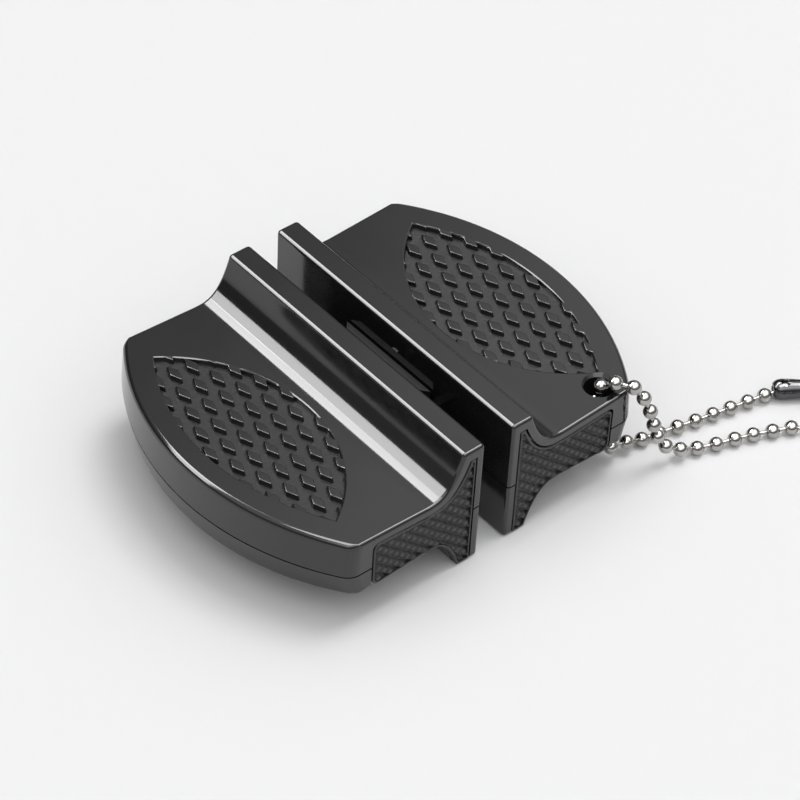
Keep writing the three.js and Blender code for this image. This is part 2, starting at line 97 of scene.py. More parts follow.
def triangulate(piece):
    bm = bmesh.new()
    bm.from_mesh(piece.data)
    bmesh.ops.triangulate(bm, faces=bm.faces[:])
    bm.to_mesh(piece.data)
    bm.free()


def carve(piece, tool, how):  # boolean, applied at once; the tool is used up
    triangulate(piece)
    triangulate(tool)
    step = piece.modifiers.new("carve", "BOOLEAN")
    step.operation = how
    step.solver = "EXACT"
    step.object = tool
    graph = bpy.context.evaluated_depsgraph_get()
    shaped = bpy.data.meshes.new_from_object(piece.evaluated_get(graph))
    piece.modifiers.clear()
    worn = piece.data
    piece.data = shaped
    bpy.data.meshes.remove(worn)
    bpy.data.meshes.remove(tool.data)
    return piece


def joinFlats(piece):  # merges the triangles that a boolean leaves on flat faces
    sliver = 0.0001 * mm
    flat = math.radians(0.2)
    bm = bmesh.new()
    bm.from_mesh(piece.data)
    bmesh.ops.dissolve_degenerate(bm, dist=sliver, edges=bm.edges[:])
    bmesh.ops.dissolve_limit(bm, angle_limit=flat, verts=bm.verts[:], edges=bm.edges[:])
    bm.to_mesh(piece.data)
    bm.free()


def block(low, high):
    bm = bmesh.new()
    size = Vector(high) - Vector(low)
    middle = (Vector(high) + Vector(low)) / 2
    place = Matrix.Translation(middle) @ Matrix.Diagonal((*size, 1.0))
    bmesh.ops.create_cube(bm, size=1.0, matrix=place)
    return newObject("block", bm)


def post(x, y, z0, z1, lowRadius, highRadius, sides):
    bm = bmesh.new()
    addPost(bm, x, y, z0, z1, lowRadius, highRadius, sides)
    return newObject("post", bm)


def addPost(bm, x, y, z0, z1, lowRadius, highRadius, sides):
    bmesh.ops.create_cone(bm, cap_ends=True, segments=sides, radius1=lowRadius, radius2=highRadius,
                          depth=z1 - z0, matrix=Matrix.Translation((x, y, (z0 + z1) / 2)))


def prism(points, along):  # closed outline, extruded by a vector
    bm = bmesh.new()
    face = bm.faces.new([bm.verts.new(p) for p in points])
    grown = bmesh.ops.extrude_face_region(bm, geom=[face])["geom"]
    bmesh.ops.translate(bm, verts=[g for g in grown if isinstance(g, bmesh.types.BMVert)], vec=along)
    bmesh.ops.recalc_face_normals(bm, faces=bm.faces[:])
    return bm


def loft(bm, rings):  # closed skin over a stack of outlines with equal counts
    stack = [[bm.verts.new(p) for p in ring] for ring in rings]
    count = len(stack[0])
    for low, high in zip(stack, stack[1:]):
        for i in range(count):
            j = (i + 1) % count
            bm.faces.new((low[i], low[j], high[j], high[i]))
    bm.faces.new(stack[0])
    bm.faces.new(stack[-1])
    bmesh.ops.recalc_face_normals(bm, faces=bm.faces[:])


def roundCap(bm, end, radius, steps):  # rounds the rim of an end face that looks along -Y or +Y
    bm.faces.ensure_lookup_table()
    cap = max(bm.faces, key=lambda f: end * f.calc_center_median().y + f.calc_area())
    turns = [math.pi / 2 * i / steps for i in range(steps + 1)]
    for a, b in zip(turns, turns[1:]):
        bmesh.ops.inset_region(bm, faces=[cap], use_boundary=True, use_even_offset=True,
                               thickness=radius * (math.cos(a) - math.cos(b)),
                               depth=radius * (math.sin(b) - math.sin(a)))


def softEdges(piece, width):  # narrow rounded edges
    bevel = piece.modifiers.new("softEdge", "BEVEL")
    bevel.width = width
    bevel.segments = 2
    bevel.limit_method = "ANGLE"


def finishPiece(piece, body, material, nodes):
    piece.data.materials.clear()
    piece.data.materials.append(material)
    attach(piece, body)
    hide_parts(*nodes)
    return piece


# finishes: procedural, on Object coordinates
noiseSpan = (0.3, 0.7)  # the part of a noise that is spread out
finishes = {
    # tint: noise scale and detail, dark and light colour
    # polish: noise scale and detail, lowest and highest roughness
    # grain: noise scale and detail, bump strength and depth
    "shell": {
        "name": "glossBlack",
        "sockets": {"Specular IOR Level": 0.66},
        "tint": (90.0, 3.0, (0.011, 0.011, 0.0115), (0.0145, 0.0145, 0.015)),
        "polish": (240.0, 4.0, 0.09, 0.13),
        "grain": (3200.0, 2.0, 0.5, 0.08 * mm),
        "gripRoughness": 0.28,  # the leaf grips are duller, and they alone have the grain
    },
    "insert": {
        "name": "mattBlack",
        "sockets": {"Specular IOR Level": 0.36},
        "tint": (120.0, 3.0, (0.009, 0.009, 0.0095), (0.013, 0.013, 0.0135)),
        "polish": (500.0, 3.0, 0.34, 0.44),
        "grain": (3500.0, 2.0, 0.08, 0.03 * mm),
    },
    "pad": {
        "name": "padRubber",
        "sockets": {"Specular IOR Level": 0.5},
        "tint": (200.0, 4.0, (0.018, 0.018, 0.0185), (0.027, 0.027, 0.0275)),
        "polish": (700.0, 3.0, 0.36, 0.48),
        "grain": (4200.0, 3.0, 0.15, 0.03 * mm),
    },
    "carbide": {
        "name": "groundCarbide",
        "sockets": {"Metallic": 1.0},
        "tint": (900.0, 4.0, (0.09, 0.094, 0.1), (0.14, 0.146, 0.155)),
        "polish": (1800.0, 3.0, 0.28, 0.42),
        "grain": (6000.0, 2.0, 0.12, 0.02 * mm),
    },
    "ceramic": {
        "name": "whiteCeramic",
        "sockets": {"Specular IOR Level": 0.45},
        "tint": (800.0, 4.0, (0.7, 0.68, 0.62), (0.82, 0.8, 0.75)),
        "polish": (1500.0, 3.0, 0.55, 0.7),
        "grain": (7000.0, 3.0, 0.2, 0.02 * mm),
    },
    "screw": {
        "name": "zincScrew",
        "sockets": {"Metallic": 1.0},
        "tint": (700.0, 4.0, (0.3, 0.3, 0.31), (0.42, 0.42, 0.43)),
        "polish": (1600.0, 3.0, 0.25, 0.4),
    },
    "chain": {
        "name": "nickelBalls",
        "sockets": {"Metallic": 1.0},
        "tint": (600.0, 4.0, (0.36, 0.352, 0.337), (0.48, 0.47, 0.45)),
        "polish": (1400.0, 3.0, 0.05, 0.1),
    },
    "connector": {
        "name": "darkNickel",
        "sockets": {"Metallic": 1.0},
        "tint": (500.0, 4.0, (0.075, 0.075, 0.078), (0.12, 0.12, 0.124)),
        "polish": (1300.0, 3.0, 0.12, 0.2),
    },
}


def startMaterial(name, sockets):
    material = bpy.data.materials.new(name)
    material.use_nodes = True
    shader = material.node_tree.nodes["Principled BSDF"]
    for socket, value in sockets.items():
        shader.inputs[socket].default_value = value
    return material, material.node_tree, shader


def noiseNode(tree, scale, detail):
    coordinates = tree.nodes.new("ShaderNodeTexCoord")
    noise = tree.nodes.new("ShaderNodeTexNoise")
    noise.inputs["Scale"].default_value = scale
    noise.inputs["Detail"].default_value = detail
    tree.links.new(coordinates.outputs["Object"], noise.inputs["Vector"])
    return noise.outputs["Fac"]


def tint(tree, shader, factor, dark, light):
    ramp = tree.nodes.new("ShaderNodeValToRGB")
    for element, position, colour in zip(ramp.color_ramp.elements, noiseSpan, (dark, light)):
        element.position = position
        element.color = (*colour, 1.0)
    tree.links.new(factor, ramp.inputs["Fac"])
    tree.links.new(ramp.outputs["Color"], shader.inputs["Base Color"])


def spreadNode(nodes, span, low, high):
    spread = nodes.new("ShaderNodeMapRange")
    for socket, value in zip(("From Min", "From Max", "To Min", "To Max"), (*span, low, high)):
        spread.inputs[socket].default_value = value
    return spread


def polish(tree, shader, factor, low, high):
    spread = spreadNode(tree.nodes, noiseSpan, low, high)
    tree.links.new(factor, spread.inputs["Value"])
    tree.links.new(spread.outputs["Result"], shader.inputs["Roughness"])


def productNode(tree, first, second):
    product = tree.nodes.new("ShaderNodeMath")
    product.operation = "MULTIPLY"
    tree.links.new(first, product.inputs[0])
    tree.links.new(second, product.inputs[1])
    return product.outputs["Value"]


def dullGrip(tree, shader, height, roughness):  # roughens the leaf grips and keeps the grain to them
    grip = tree.nodes.new("ShaderNodeAttribute")
    grip.attribute_name = "grip"
    mix = tree.nodes.new("ShaderNodeMix")
    mix.inputs["B"].default_value = roughness
    polished = shader.inputs["Roughness"].links[0].from_socket
    tree.links.new(grip.outputs["Fac"], mix.inputs["Factor"])
    tree.links.new(polished, mix.inputs["A"])
    tree.links.new(mix.outputs["Result"], shader.inputs["Roughness"])
    return productNode(tree, height, grip.outputs["Fac"])


def grain(tree, shader, height, strength, depth):
    bump = tree.nodes.new("ShaderNodeBump")
    bump.inputs["Strength"].default_value = strength
    bump.inputs["Distance"].default_value = depth
    tree.links.new(height, bump.inputs["Height"])
    tree.links.new(bump.outputs["Normal"], shader.inputs["Normal"])


def makeFinish(look):
    material, tree, shader = startMaterial(look["name"], look["sockets"])
    scale, detail, dark, light = look["tint"]
    tint(tree, shader, noiseNode(tree, scale, detail), dark, light)
    scale, detail, low, high = look["polish"]
    polish(tree, shader, noiseNode(tree, scale, detail), low, high)
    if "grain" in look:
        scale, detail, strength, depth = look["grain"]
        height = noiseNode(tree, scale, detail)
        if "gripRoughness" in look:
            height = dullGrip(tree, shader, height, look["gripRoughness"])
        grain(tree, shader, height, strength, depth)
    return material


finish = {use: makeFinish(look) for use, look in finishes.items()}
print("finishes made:", ", ".join(finish))

# ball chain: where each ball lies, from inside the hole outwards
chain = {
    "ball": 2.2 * mm,
    "wire": 0.6 * mm,
    "wireClear": 0.9,  # share of a ball that the wire stays out of
    "wireSides": 12,
    "pitch": 3.0 * mm,
    "segments": 24,
    "rings": 14,
    "smooth": 40,
    "upperExit": (22.3 * mm, -22.4 * mm, 15.6 * mm),
    "lowerExit": (22.3 * mm, -22.4 * mm, 6.0 * mm),
    # balls in mm
    "upperBalls": [
        (22.2, -22.2, 12.4), (22.6, -22.6, 15.3), (23.1, -24.8, 17.3), (24.9, -26.8, 16.9),
        (26.5, -27.5, 14.4), (27.5, -28.1, 11.7), (28.3, -28.4, 8.8), (29.3, -28.5, 6.0),
        (30.8, -29.0, 3.5), (33.3, -29.7, 1.9), (36.0, -30.5, 1.15), (38.8, -31.6, 1.15),
        (41.7, -32.5, 1.15), (44.5, -33.5, 1.15), (47.3, -34.7, 1.15), (50.0, -35.9, 1.15),
        (52.2, -38.0, 1.15), (54.7, -39.7, 1.15), (57.5, -40.8, 1.15), (60.5, -40.7, 1.15),
        (63.1, -39.1, 1.15), (63.5, -36.2, 1.2),
    ],
    "lowerBalls": [
        (22.2, -22.3, 9.2), (21.8, -22.6, 6.4), (22.7, -23.1, 3.7), (25.2, -23.5, 2.4),
        (28.1, -23.8, 1.9), (30.9, -24.2, 1.15), (33.8, -24.8, 1.15), (36.8, -25.5, 1.15),
        (39.8, -26.2, 1.15), (42.8, -26.8, 1.15), (45.8, -27.4, 1.15), (48.8, -28.0, 1.15),
        (51.7, -28.6, 1.2),
    ],
}

# barrel that closes the chain
barrel = {
    "start": Vector((53.3, -28.65, 1.55)) * mm,
    "heading": -36.0,
    "length": 8.0 * mm,
    "radius": 1.55 * mm,
    "wall": 0.3 * mm,
    "neck": 0.5 * mm,
    "slit": 0.5 * mm,
    "window": 1.6 * mm,
    "ballInset": 1.825 * mm,
    "sides": 48,
    "windowSides": 32,
    "smooth": 35,
    "softEdge": 0.05 * mm,
    # share of half the length, and share of the radius there
    "cup": [(0.0, 0.6), (0.06, 0.78), (0.16, 0.92), (0.3, 1.0),
            (0.55, 0.99), (0.75, 0.96), (0.9, 0.92), (1.0, 0.9)],
}
heading = math.radians(barrel["heading"])
barrelAxis = Vector((math.cos(heading), math.sin(heading), 0.0))
barrelPlace = Matrix.Translation(barrel["start"]) @ Matrix.Rotation(heading, 4, "Z")


def alongBarrel(distance):
    return barrel["start"] + barrelAxis * distance


def makeChainLeg(name, balls, nodes):
    bm = bmesh.new()
    for ball in balls:
        bmesh.ops.create_uvsphere(bm, u_segments=chain["segments"], v_segments=chain["rings"],
                                  radius=chain["ball"] / 2, matrix=Matrix.Translation(ball))
    for a, b in zip(balls, balls[1:]):  # short wire between two balls
        turn = (b - a).to_track_quat("Z", "Y").to_matrix().to_4x4()
        bmesh.ops.create_cone(bm, cap_ends=True, segments=chain["wireSides"],
                              radius1=chain["wire"] / 2, radius2=chain["wire"] / 2,
                              depth=(b - a).length - chain["ball"] * chain["wireClear"],
                              matrix=Matrix.Translation((a + b) / 2) @ turn)
    leg = newObject(name, bm)
    smoothShading(leg, chain["smooth"])
    finishPiece(leg, "body", finish["chain"], nodes)


def makeBarrel():
    b = barrel
    half = b["length"] / 2
    cup = [(u * half, b["radius"] * share) for u, share in b["cup"]]
    outer = cup + [(b["length"] - x, r) for x, r in reversed(cup[:-1])]
    inner = [(min(max(x, b["wall"]), b["length"] - b["wall"]), max(r - b["wall"], b["neck"]))
             for x, r in outer]
    outline = [(0.0, b["neck"])] + outer + [(b["length"], b["neck"])] + inner[::-1]
    bm = bmesh.new()
    ring = [bm.verts.new((x, 0.0, r)) for x, r in outline]
    edges = [bm.edges.new((p, q)) for p, q in zip(ring, ring[1:] + ring[:1])]
    bmesh.ops.spin(bm, geom=ring + edges, cent=(0, 0, 0), axis=(1, 0, 0), angle=2 * math.pi,
                   steps=b["sides"], use_merge=True)
    bmesh.ops.recalc_face_normals(bm, faces=bm.faces[:])
    piece = newObject("barrel_connector", bm)
    reach = 2 * b["radius"]
    halfSlit = b["slit"] / 2
    carve(piece, block((-reach, 0.0, -halfSlit), (b["length"] + reach, reach, halfSlit)), "DIFFERENCE")
    radius = b["window"] / 2
    for x in (b["ballInset"], b["length"] - b["ballInset"]):
        carve(piece, post(x, 0.0, 0.0, reach, radius, radius, b["windowSides"]), "DIFFERENCE")
    piece.data.transform(barrelPlace)
    smoothShading(piece, b["smooth"])
    softEdges(piece, b["softEdge"])
    return finishPiece(piece, "connector", finish["connector"], ["chain_connector"])


connector = makeBarrel()
insetFar = barrel["length"] - barrel["ballInset"]
makeChainLeg("ball_chain_upper",
             [Vector(p) * mm for p in chain["upperBalls"]]
             + [alongBarrel(insetFar + chain["pitch"]), alongBarrel(insetFar)],
             ["chain_upper_leg", "chain_end_ball_upper"])
makeChainLeg("ball_chain_lower",
             [Vector(p) * mm for p in chain["lowerBalls"]] + [alongBarrel(barrel["ballInset"])],
             ["chain_lower_leg", "chain_end_ball_lower"])
print("chain made")

# two-part body
shell = {
    "length": 52.0 * mm,
    "height": 21.6 * mm,
    "seam": 9.8 * mm,
    "seamGap": 0.25 * mm,
    "slot": 5.0 * mm,
    "ridge": 3.75 * mm,
    "ridgeRound": 0.62 * mm,
    "endRound": 0.55 * mm,
    "filletReach": 6.15 * mm,
    "drop": 6.6 * mm,
    "slope": 0.055,
    "reach": 34.5 * mm,
    "arc": 43.1 * mm,
    "corner": 2.8 * mm,
    "rim": {True: 1.0 * mm, False: 0.6 * mm},  # upper and lower shell
    "rimLift": 0.05 * mm,
    "draft": {True: 0.45 * mm, False: 0.85 * mm},
    "wall": 2.0 * mm,
    "endWall": 2.8 * mm,
    "margin": 2.0 * mm,
    "filletSteps": 40,
    "filletStart": 0.022,
    "ridgeSteps": 8,
    "endSteps": 4,
    "smooth": 34,
    "evenWeight": 100,
    "arcSteps": 48,
    "cornerSteps": 12,
    "rimSteps": 8,
}
slotHalf = shell["slot"] / 2
ridgeOuter = slotHalf + shell["ridge"]
filletEnd = ridgeOuter + shell["filletReach"]
endY = shell["length"] / 2
valley = shell["height"] - shell["drop"]
arcCentre = shell["reach"] - shell["arc"]
wingTilt = math.atan(shell["slope"])


def wingTop(x):
    return valley + shell["slope"] * (x - filletEnd)


def filletPoints(ridgeX, ridgeZ, endX, endZ, steps, start=0.0):
    runs = [start + (1 - start) * i / steps for i in range(steps + 1)]
    return [(ridgeX + (endX - ridgeX) * u, endZ + (ridgeZ - endZ) * (1 - u) ** 3) for u in runs]


def roundCorner(corner, towardA, towardB, radius, steps):  # arc that touches both sides of a corner
    corner, a, b = Vector(corner), Vector(towardA).normalized(), Vector(towardB).normalized()
    half = a.angle(b) / 2
    centre = corner + (a + b).normalized() * (radius / math.sin(half))
    first, last = (corner + side * (radius / math.tan(half)) - centre for side in (a, b))
    sweep = math.pi - 2 * half
    shares = [(math.sin(sweep * (1 - i / steps)), math.sin(sweep * i / steps)) for i in range(steps + 1)]
    return [tuple(centre + (first * s + last * t) / math.sin(sweep)) for s, t in shares]


def onWing(side, up):  # from a drawing with z = 0 on the wing's surface to its place on the body
    level = wingTop(0.0)
    tilt = Matrix.Rotation(-side * wingTilt if up else side * wingTilt, 4, "Y")
    flip = Matrix.Identity(4) if up else Matrix.Rotation(math.pi, 4, "X")
    return Matrix.Translation((0, 0, level if up else shell["height"] - level)) @ tilt @ flip


def makeSection(side):
    s = shell
    top = s["height"]
    farX = s["reach"] + s["margin"]
    fillet = filletPoints(ridgeOuter, top, filletEnd, valley, s["filletSteps"], s["filletStart"])
    filletStart = (fillet[0][0] - ridgeOuter, fillet[0][1] - top)
    inner = roundCorner((slotHalf, top), (0, -1), (1, 0), s["ridgeRound"], s["ridgeSteps"])
    outer = roundCorner((ridgeOuter, top), (-1, 0), filletStart, s["ridgeRound"], s["ridgeSteps"])
    upper = inner + outer + fillet[1:] + [(farX, wingTop(farX))]
    lower = [(x, top - z) for x, z in reversed(upper)]
    flatEnd = endY - s["endRound"]
    bm = prism([(side * x, -flatEnd, z) for x, z in upper + lower], (0, 2 * flatEnd, 0))
    for end in (-1, 1):
        roundCap(bm, end, s["endRound"], s["endSteps"])
    return newObject("section", bm)


def wingOutline(inset):  # flat ends, rounded corners and the arc, seen from above
    s = shell
    cornerY = endY - s["corner"]
    arc = s["arc"] - inset
    cornerX = arcCentre + math.sqrt((arc - s["corner"]) ** 2 - cornerY ** 2)
    sweep = math.atan2(cornerY, cornerX - arcCentre)
    steps = s["cornerSteps"]
    turns = [-math.pi / 2 + (math.pi / 2 - sweep) * i / steps for i in range(steps + 1)]
    front = [(cornerX + s["corner"] * math.cos(a), -cornerY + s["corner"] * math.sin(a)) for a in turns]
    turns = [sweep * (2 * i / s["arcSteps"] - 1) for i in range(1, s["arcSteps"])]
    rim = [(arcCentre + arc * math.cos(a), arc * math.sin(a)) for a in turns]
    return [(0.0, -endY)] + front + rim + [(x, -y) for x, y in reversed(front)] + [(0.0, endY)]


def makeBlank(side, up):  # a wing with its rounded rim
    s = shell
    edge = wingTop(s["reach"])
    rise = edge - s["seam"] if up else s["seam"] - (s["height"] - edge)
    rim = s["rim"][up]
    turns = [math.pi / 2 * i / s["rimSteps"] for i in range(s["rimSteps"] + 1)]
    levels = [(-s["height"], rise * s["slope"]), (-rise, rise * s["slope"])]
    levels += [(-rim + rim * math.sin(a), s["draft"][up] + rim * (1 - math.cos(a))) for a in turns]
    bm = bmesh.new()
    loft(bm, [[(side * x, y, z + s["rimLift"]) for x, y in wingOutline(inset)]
              for z, inset in levels])
    bm.transform(onWing(side, up))
    return newObject("blank", bm)


# leaf grip: a lens-shaped recess with lozenges left standing
leaf = {
    "innerMargin": 0.3 * mm,
    "outerMargin": 4.2 * mm,
    "endMargin": 5.8 * mm,
    "innerBulge": 11.3 * mm,
    "pitch": 3.0 * mm,
    "rowPitch": 4.0 * mm,
    "lozengeWidth": 1.75 * mm,
    "lozengeLength": 3.65 * mm,
    "shift": 0.6 * mm,
    "arcSteps": 48,
    "cornerCut": 0.1,
    "topGrain": 0.12,  # how coarse the lozenges are beside the floor
    "topDepth": 0.48 * mm,  # faces above this are a lozenge's top
    "gripDepth": 1.2 * mm,  # faces above this, and inside the lens, belong to the grip
    "gripMargin": 0.1 * mm,
    # height and share of the lozenge's size, from below the floor to the rounded top
    "lozenge": [(-1.2 * mm, 1.2), (-0.3 * mm, 1.04), (-0.12 * mm, 0.98), (-0.05 * mm, 0.9),
                (-0.03 * mm, 0.8)],
    # height and growth of the lens, from the floor to the rounded border
    "border": [(-0.8 * mm, 0.0), (-0.32 * mm, 0.0), (-0.14 * mm, 0.06 * mm), (-0.03 * mm, 0.2 * mm),
               (0.02 * mm, 0.34 * mm), (5.0 * mm, 0.34 * mm)],
}
leafInner = filletEnd + leaf["innerMargin"]
leafOuter = shell["reach"] - leaf["outerMargin"]
leafHalf = endY - leaf["endMargin"]


def lensArcs(grow):  # radius and centre of the outer and of the inner arc
    sagittas = (leafOuter - leafInner - leaf["innerBulge"], leaf["innerBulge"])
    radii = [(leafHalf ** 2 + s ** 2) / (2 * s) for s in sagittas]
    centres = (leafOuter - radii[0], leafInner + radii[1])
    return [r + grow for r in radii], centres


def lensOutline(grow):
    radii, centres = lensArcs(grow)
    apart = centres[1] - centres[0]
    tipX = (apart ** 2 + radii[0] ** 2 - radii[1] ** 2) / (2 * apart)
    tipY = math.sqrt(radii[0] ** 2 - tipX ** 2)
    points = []
    for radius, centre, sign in ((radii[0], centres[0], 1), (radii[1], centres[1], -1)):
        half = math.asin(tipY / radius)
        turns = [-half + 2 * half * i / leaf["arcSteps"] for i in range(leaf["arcSteps"])]
        points += [(centre + sign * radius * math.cos(a), sign * radius * math.sin(a)) for a in turns]
    return points


def insideLens(x, y, grow):
    radii, centres = lensArcs(grow)
    return all(math.hypot(abs(x) - c, y) < r for r, c in zip(radii, centres))


def makeLeaf(side, up):
    bm = bmesh.new()
    loft(bm, [[(side * x, y, z) for x, y in lensOutline(grow)] for z, grow in leaf["border"]])
    bm.transform(onWing(side, up))
    return newObject("leaf", bm)


def makeLozenges(side, up):
    middle = (leafInner + leafOuter) / 2 + leaf["shift"]
    rows = math.ceil(leafHalf / leaf["rowPitch"])
    columns = math.ceil((leafOuter - leafInner) / 2 / leaf["pitch"])
    corners = [Vector((leaf["lozengeWidth"] / 2, 0.0)), Vector((0.0, leaf["lozengeLength"] / 2))]
    corners += [-c for c in corners]
    outline = []
    for i, corner in enumerate(corners):
        outline += [corner.lerp(corners[i - 1], leaf["cornerCut"]),
                    corner.lerp(corners[(i + 1) % 4], leaf["cornerCut"])]
    bm = bmesh.new()
    for row in range(-rows, rows + 1):
        for column in range(-columns, columns + 1):
            shift = leaf["pitch"] / 2 if row % 2 == 0 else 0.0
            x = side * (middle + column * leaf["pitch"] + shift)
            y = row * leaf["rowPitch"]
            loft(bm, [[(x + p.x * share, y + p.y * share, z) for p in outline]
                      for z, share in leaf["lozenge"]])
    bm.transform(onWing(side, up))
    return newObject("lozenges", bm)


def markGrip(piece, up):  # tells the material which faces lie in a leaf grip
    mark = piece.data.attributes.new("grip", "FLOAT", "FACE")
    places = [v.co for v in piece.data.vertices]
    for face in piece.data.polygons:
        x, y, z = face.center
        top = wingTop(abs(x))
        below = top - z if up else z - (shell["height"] - top)
        held = below < leaf["gripDepth"] and all(
            insideLens(places[i].x, places[i].y, leaf["gripMargin"]) for i in face.vertices)
        coarse = leaf["topGrain"] if below < leaf["topDepth"] else 1.0
        mark.data[face.index].value = coarse if held else 0.0


# rubber pads on the end faces
pad = {
    "frame": 1.6 * mm,
    "sideFrame": 1.3 * mm,
    "topFrame": 2.0 * mm,
    "reach": 21.85 * mm,
    "footLift": 0.25 * mm,
    "seat": 1.0 * mm,
    "proud": 0.05 * mm,
    "gap": 0.25 * mm,
    "edge": 0.15 * mm,
    "corner": 1.0 * mm,
    "border": 0.3 * mm,
    "pitchX": 2.08 * mm,
    "pitchZ": 0.96 * mm,
    "bump": 0.42 * mm,
    "bumpSink": 0.06 * mm,
    "bumpBase": 0.97,
    "bumpTop": 0.42,
    "trim": 0.1 * mm,  # the knurls end this far inside the border
    "steps": 24,
    "cornerSteps": 6,
    "edgeSteps": 3,
    "smooth": 30,
}


def padOutline(side, grow):
    p = pad
    innerX = slotHalf + p["frame"] - grow
    outerX = p["reach"] + grow
    topZ = shell["height"] - p["topFrame"] + grow
    valleyZ = valley - p["frame"] + grow
    footZ = p["footLift"] - grow
    archZ = shell["height"] - valley - grow
    rise = shell["slope"] * (outerX - filletEnd)
    upper = filletPoints(ridgeOuter - p["sideFrame"] + grow, topZ, filletEnd, valleyZ, p["steps"])
    lower = filletPoints(ridgeOuter + grow, footZ, filletEnd, archZ, p["steps"])
    tilt = shell["slope"]
    high, low = valleyZ + rise, archZ - rise
    outline = [(innerX, footZ), (innerX, topZ)] + upper
    outline += roundCorner((outerX, high), (-1, -tilt), (0, -1), p["corner"], p["cornerSteps"])
    outline += roundCorner((outerX, low), (0, 1), (-1, tilt), p["corner"], p["cornerSteps"])
    outline += lower[::-1]
    return [(side * x, z) for x, z in outline]


def makePadSlab(side, end, grow, outward):
    floorY = end * (endY - pad["seat"])
    return prism([(x, floorY, z) for x, z in padOutline(side, grow)],
                 (0, end * (pad["seat"] + outward), 0))


# ribs, screws and the chain hole
inside = {
    "fit": 0.25 * mm,
    "insertHalf": 9.3 * mm,
    "ribThickness": 2.8 * mm,
    "ribReach": 2.2 * mm,
    "screwX": 13.5 * mm,
    "screwY": 18.0 * mm,
    "headRadius": 1.9 * mm,
    "headHeight": 1.3 * mm,
    "shankRadius": 0.9 * mm,
    "screwLength": 5.4 * mm,
    "screwSink": 0.3 * mm,
    "bossWall": 1.4 * mm,
    "hole": (22.301 * mm, -22.4 * mm),
    "holeRadius": 2.1 * mm,
    "holeLip": 0.4 * mm,
    "holeSides": 64,
    "hollowSides": 128,
    "shankSides": 32,
    "headSides": 48,
}
screwSeat = shell["height"] - wingTop(inside["screwX"]) + inside["screwSink"] + inside["headHeight"]
screwPlaces = [(sx * inside["screwX"], sy * inside["screwY"]) for sy in (-1, 1) for sx in (-1, 1)]


def makeHollow(side, up):
    s = shell
    roof = valley - s["wall"]
    if up:
        z0, z1 = s["seam"] - s["margin"], roof
    else:
        z0, z1 = s["height"] - roof, s["seam"] + s["margin"]
    radius = s["arc"] - s["wall"]
    hollow = post(side * arcCentre, 0.0, z0, z1, radius, radius, inside["hollowSides"])
    xs = sorted((side * (ridgeOuter + s["wall"]), side * (s["reach"] + s["margin"])))
    depth = endY - s["endWall"]
    carve(hollow, block((xs[0], -depth, z0 - s["margin"]), (xs[1], depth, z1 + s["margin"])), "INTERSECT")
    shank = inside["shankRadius"] + inside["fit"] + inside["bossWall"]
    head = inside["headRadius"] + inside["fit"] + inside["bossWall"]
    radius = shank if up else head
    bosses = bmesh.new()
    for x, y in screwPlaces:
        addPost(bosses, x, y, 0.0, s["height"], radius, radius, inside["shankSides"])
    tube = inside["holeRadius"] + inside["bossWall"]
    addPost(bosses, *inside["hole"], 0.0, s["height"], tube, tube, inside["headSides"])
    return carve(hollow, newObject("bosses", bosses), "DIFFERENCE")


def makeBores(up):
    i = inside
    radius = i["shankRadius"] + i["fit"]
    tip = screwSeat + i["screwLength"] + i["fit"]
    bm = bmesh.new()
    for x, y in screwPlaces:
        addPost(bm, x, y, screwSeat, tip, radius, radius, i["shankSides"])
    bores = newObject("bores", bm)
    if not up:
        radius = i["headRadius"] + i["fit"]
        bm = bmesh.new()
        for x, y in screwPlaces:
            addPost(bm, x, y, 0.0, screwSeat + i["fit"], radius, radius, i["headSides"])
        carve(bores, newObject("seats", bm), "UNION")
    return bores


def makeHalf(side, up):  # ridge and wing of one side, with its leaf grip and its hollow
    s = shell
    form = makeBlank(side, up)
    x0, x1 = sorted((0.0, side * filletEnd))
    core = block((x0, -2 * endY, -s["margin"]), (x1, 2 * endY, s["height"] + s["margin"]))
    carve(form, core, "UNION")
    half = carve(makeSection(side), form, "INTERSECT")
    carve(half, carve(makeLeaf(side, up), makeLozenges(side, up), "DIFFERENCE"), "DIFFERENCE")
    return carve(half, makeHollow(side, up), "DIFFERENCE")


def addRibs(body, up):  # two ribs join the sides and hold the inserts
    ribX = slotHalf + shell["ridge"] / 2
    z0, z1 = sorted((shell["seam"], shell["seam"] + (1 if up else -1) * inside["ribReach"]))
    far = inside["insertHalf"]
    for end in (-1, 1):
        y0, y1 = sorted((end * (far - inside["ribThickness"]), end * far))
        carve(body, block((-ribX, y0, z0), (ribX, y1, z1)), "UNION")


def cutChainHole(body, up):
    s = shell
    x, y = inside["hole"]
    radius = inside["holeRadius"]
    lip = inside["holeLip"]
    sides = inside["holeSides"]
    bore = post(x, y, -s["margin"], s["height"] + s["margin"], radius, radius, sides)
    carve(body, bore, "DIFFERENCE")
    mouth = wingTop(x) if up else s["height"] - wingTop(x)
    wide = radius + 2 * lip
    low, high = (radius, wide) if up else (wide, radius)
    carve(body, post(x, y, mouth - lip, mouth + lip, low, high, sides), "DIFFERENCE")


def cutAtSeam(body, up):
    s = shell
    far = s["reach"] + s["margin"]
    if up:
        z0, z1 = s["seam"] + s["seamGap"] / 2, s["height"] + s["margin"]
    else:
        z0, z1 = -s["margin"], s["seam"] - s["seamGap"] / 2
    carve(body, block((-far, -2 * endY, z0), (far, 2 * endY, z1)), "INTERSECT")


